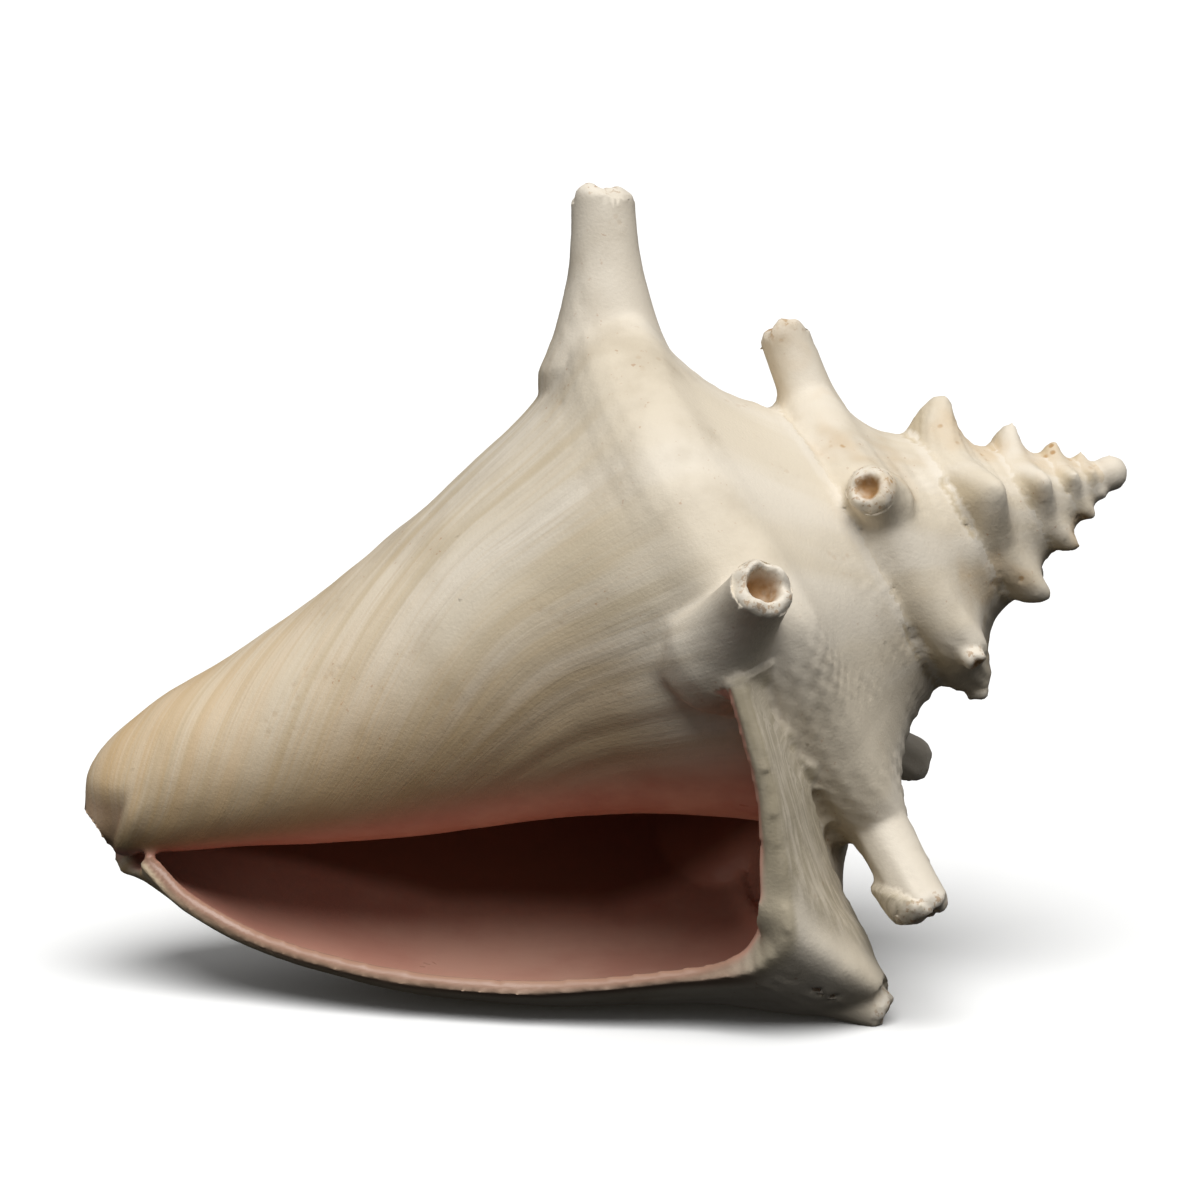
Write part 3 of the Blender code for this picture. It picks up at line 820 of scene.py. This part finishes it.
streaks = along_growth(95.0, 3.0, 3.0)
hairs = along_growth(260.0, 5.0, 6.0)
broad = along_growth(14.0, 2.2, 8.0, 3.0, 0.5)
blotches = noise(spot, 38.0, 4.0, 0.55)
towards_front = share.ramp(0.42, 0.92)
on_body = share.ramp(0.20, 0.34)
colour = blend(broad.ramp(0.40, 0.62) * 0.6, CREAM, CHALK)
colour = blend(blotches.ramp(0.48, 0.68) * 0.45, colour, GREY_BEIGE)
colour = blend(streaks.ramp(0.48, 0.68) * on_body * 0.35, colour, GREY_BEIGE)
bands = along_growth(40.0, 1.4, 21.0, 2.0, 0.5)
colour = blend(bands.ramp(0.47, 0.64) * on_body * 0.50, colour, BAND)
# Painted shade on the body beside the mouth
colour = blend(field("belly_shade") * 0.75, colour, BELLY_SHADE)
# Below the shoulder a darker grey-brown band: partly dirt in the sunk band, partly painted shade under the
# shoulder's edge
colour = blend(field("below") * 0.55, colour, BAND)
colour = blend(hairs.ramp(0.45, 0.66) * (towards_front * 0.28 + on_body * 0.10), colour, OCHRE)
colour = blend(towards_front * (broad.ramp(0.32, 0.62) * 0.5 + 0.25), colour, OCHRE)
speck = noise(spot, 900.0, 2.0, 0.5)
colour = blend(speck.ramp(0.68, 0.75) * blotches.ramp(0.45, 0.6) * 0.45, colour, RUST)
sheet = blend(along_growth(180.0, 30.0, 12.0).ramp(0.40, 0.62), SHEET_GREY, CREAM)
colour = blend(lip_sheet * 0.85, colour, sheet)
colour = blend(broken * noise(spot, 520.0, 3.0, 0.6).ramp(0.30, 0.6) * 0.8, colour, CHALK)
colour = blend(broken * noise(spot, 700.0, 3.0, 0.6).ramp(0.54, 0.64) * 0.6, colour, TAN)
colour = blend(field("end_face") * 0.55, colour, RIM_BROWN)
colour = blend(hole * (noise(spot, 300.0, 2.0, 0.5).ramp(0.25, 0.6) * 0.5 + 0.45), colour, TAN)
pits = paint.add("ShaderNodeTexVoronoi", {"voronoi_dimensions": "3D"},
                 {"Vector": spot, "Scale": PIT_SCALE, "Randomness": 1.0})
worn = noise(spot, WORN_SCALE, 2.0, 0.5)
spire = turn.ramp(*SPIRE_TURNS)
colour = blend(pits.ramp(0.34, 0.14) * worn.ramp(*WORN_AT) * (spire + 0.2) * 0.8, colour, TAN)
colour = blend(spire * worn.ramp(0.50, 0.70) * 0.35, colour, OCHRE)
colour = blend(share.ramp(0.016, 0.005) * turn.ramp(-0.6, -0.8) * 0.6, colour, CHALK)
pink = blend(noise(spot, 45.0, 4.0, 0.6).ramp(0.35, 0.7) * 0.55, SALMON, ROSE)
# Painted shade: the inner lip is painted a darker rose towards the front end
pink = blend(towards_front * 0.6, pink, ROSE)
parietal = blend(noise(spot, 45.0, 4.0, 0.6).ramp(0.3, 0.7), pink, ROSE)
colour = blend(glaze * 0.9, colour, parietal)
colour = blend(inner, colour, pink)
# Painted shade: the deep hollow of the mouth is painted dark
colour = blend(deep, colour, SALMON_BROWN_AND_SHADE)
colour = blend(field("cut_face") * (1.0 - inner) * 0.8, colour, SHEET_GREY)
colour = blend(rim * 0.8, colour, RIM_BROWN)
wet = (glaze + inner).sum("MINIMUM", 1.0)
rough = 0.60 - wet * 0.30 + (blotches - 0.5) * 0.14

fine = along_growth(300.0, 8.0, 5.0, 4.0, 0.6)
grit = noise(spot, 1300.0, 3.0, 0.6)
height = (fine * (share.ramp(0.14, 0.32) * 0.35 + 0.05) + grit * 0.35) * (1.0 - wet * 0.88)
bump = paint.add("ShaderNodeBump", {}, {"Strength": 0.40, "Distance": 0.0006, "Height": height})
surface = paint.add("ShaderNodeBsdfPrincipled", {}, {
    "Base Color": colour, "Roughness": rough, "Normal": bump, "IOR": 1.5,
    "Subsurface Weight": 0.0, "Specular IOR Level": 0.4})
paint.add("ShaderNodeOutputMaterial", {}, {"Surface": surface})

relief = shell.modifiers.new("relief", "NODES")
relief.node_group = relief_tree(shell_skin)
for item in relief.node_group.interface.items_tree:
    if item.in_out == "INPUT" and item.socket_type == "NodeSocketFloat":
        relief[item.identifier] = item.default_value
settled(shell)
thin = shell.modifiers.new("fewer_faces", "DECIMATE")
thin.ratio = min(1.0, TRIANGLES_KEPT / (2 * len(shell.data.polygons)))
settled(shell)


def stand_on_table(obj):
    """Wears the feet flat where the shell touches the table."""
    bm = bmesh.new()
    bm.from_mesh(obj.data)
    everything = bm.verts[:] + bm.edges[:] + bm.faces[:]
    cut = bmesh.ops.bisect_plane(bm, geom=everything, dist=1e-6, plane_co=(0, 0, 0),
                                 plane_no=(0, 0, -1), clear_outer=True)
    rim = [e for e in cut["geom_cut"] if isinstance(e, bmesh.types.BMEdge)]
    bmesh.ops.holes_fill(bm, edges=rim)
    bmesh.ops.triangulate(bm, faces=bm.faces[:])
    bm.to_mesh(obj.data)
    bm.free()


def keep_in_box(mesh, box, reach=0.012, spare=0.00015):
    """Draws the outermost relief in, so that the skin stays inside the solid part's box."""
    points = fields(mesh.vertices, "co", 3)
    for axis in range(3):
        for side, limit in ((-1, box[0][axis]), (1, box[1][axis])):
            if axis == 2 and side < 0:
                continue
            far = side * points[:, axis]
            over = far.max() - (side * limit - spare)
            if over > 0:
                points[:, axis] -= side * over * ease(far, far.max() - reach, far.max())
    mesh.vertices.foreach_set("co", points.ravel())
    mesh.update()


keep_in_box(shell.data, cad_box)
stand_on_table(shell)
write_measures(shell.data)
shell.data.materials.clear()
shell.data.materials.append(shell_skin)
shell.data.shade_smooth()
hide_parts("conch_shell")
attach(shell, "root")

# The floor
# A pale sheet that runs far behind the shell, so that no edge or horizon shows. It throws no light and no
# glint back at the shell.
FLOOR_HALF = 14.0
floor_mesh = bpy.data.meshes.new("floor")
floor_mesh.from_pydata([(-FLOOR_HALF, -FLOOR_HALF, 0), (FLOOR_HALF, -FLOOR_HALF, 0),
                        (FLOOR_HALF, FLOOR_HALF, 0), (-FLOOR_HALF, FLOOR_HALF, 0)], [], [(0, 1, 2, 3)])
floor = bpy.data.objects.new("floor", floor_mesh)
bpy.context.scene.collection.objects.link(floor)
pale = bpy.data.materials.new("pale_sheet")
pale.use_nodes = True
pale.node_tree.nodes["Principled BSDF"].inputs["Base Color"].default_value = linear(250, 250, 249)
pale.node_tree.nodes["Principled BSDF"].inputs["Roughness"].default_value = 0.9
floor_mesh.materials.append(pale)
floor.visible_diffuse = False
floor.visible_glossy = False

# The light
# A wide soft sun from above and in front, and a sky that is white above and nearly black below, so that
# the shell's underside stays as dark as in the photograph. The Standard transform keeps the shell's
# colours, which Blender's default one fades.
SKY_RISE = (-0.12, 0.30)
SKY_WHITE = 0.26
SKY_DARK = 0.02
SUN_POWER = 3.35
SUN_SPREAD = math.radians(50.0)
SUN_FROM = Vector((0.05, -0.54, 1.0))
world = bpy.data.worlds.new("studio")
bpy.context.scene.world = world
world.use_nodes = True
sky = Board(world.node_tree)
way = sky.add("ShaderNodeTexCoord", output=0)
upness = sky.add("ShaderNodeSeparateXYZ", {}, {0: way}, output=2)
strength = upness.ramp(*SKY_RISE) * SKY_WHITE + SKY_DARK
background = world.node_tree.nodes["Background"]
background.inputs["Color"].default_value = (1.0, 1.0, 1.0, 1.0)
world.node_tree.links.new(strength.socket, background.inputs["Strength"])
bpy.context.scene.view_settings.view_transform = "Standard"
sun_data = bpy.data.lights.new("overhead", "SUN")
sun_data.energy = SUN_POWER
sun_data.angle = SUN_SPREAD
sun = bpy.data.objects.new("overhead", sun_data)
sun.rotation_euler = SUN_FROM.to_track_quat("Z", "Y").to_euler()
bpy.context.scene.collection.objects.link(sun)

# The camera
# At the viewer's place: a little above the shell, looking down at it by LEAN_BACK, from just under a metre.
VIEW_DISTANCE = 0.937
LENS = 134.7
SENSOR = 36.0
APEX_IN_PICTURE = (0.1100, 0.0278)
picture_up = Vector((0.0, math.sin(LEAN_BACK), math.cos(LEAN_BACK)))
towards_viewer = Vector((0.0, -math.cos(LEAN_BACK), math.sin(LEAN_BACK)))
centre = APEX_AT - APEX_IN_PICTURE[0] * Vector((1, 0, 0)) - APEX_IN_PICTURE[1] * picture_up
camera_data = bpy.data.cameras.new("camera")
camera_data.lens = LENS
camera_data.sensor_width = SENSOR
camera = bpy.data.objects.new("camera", camera_data)
camera.location = centre + VIEW_DISTANCE * towards_viewer
camera.rotation_euler = towards_viewer.to_track_quat("Z", "Y").to_euler()
bpy.context.scene.collection.objects.link(camera)
bpy.context.scene.camera = camera
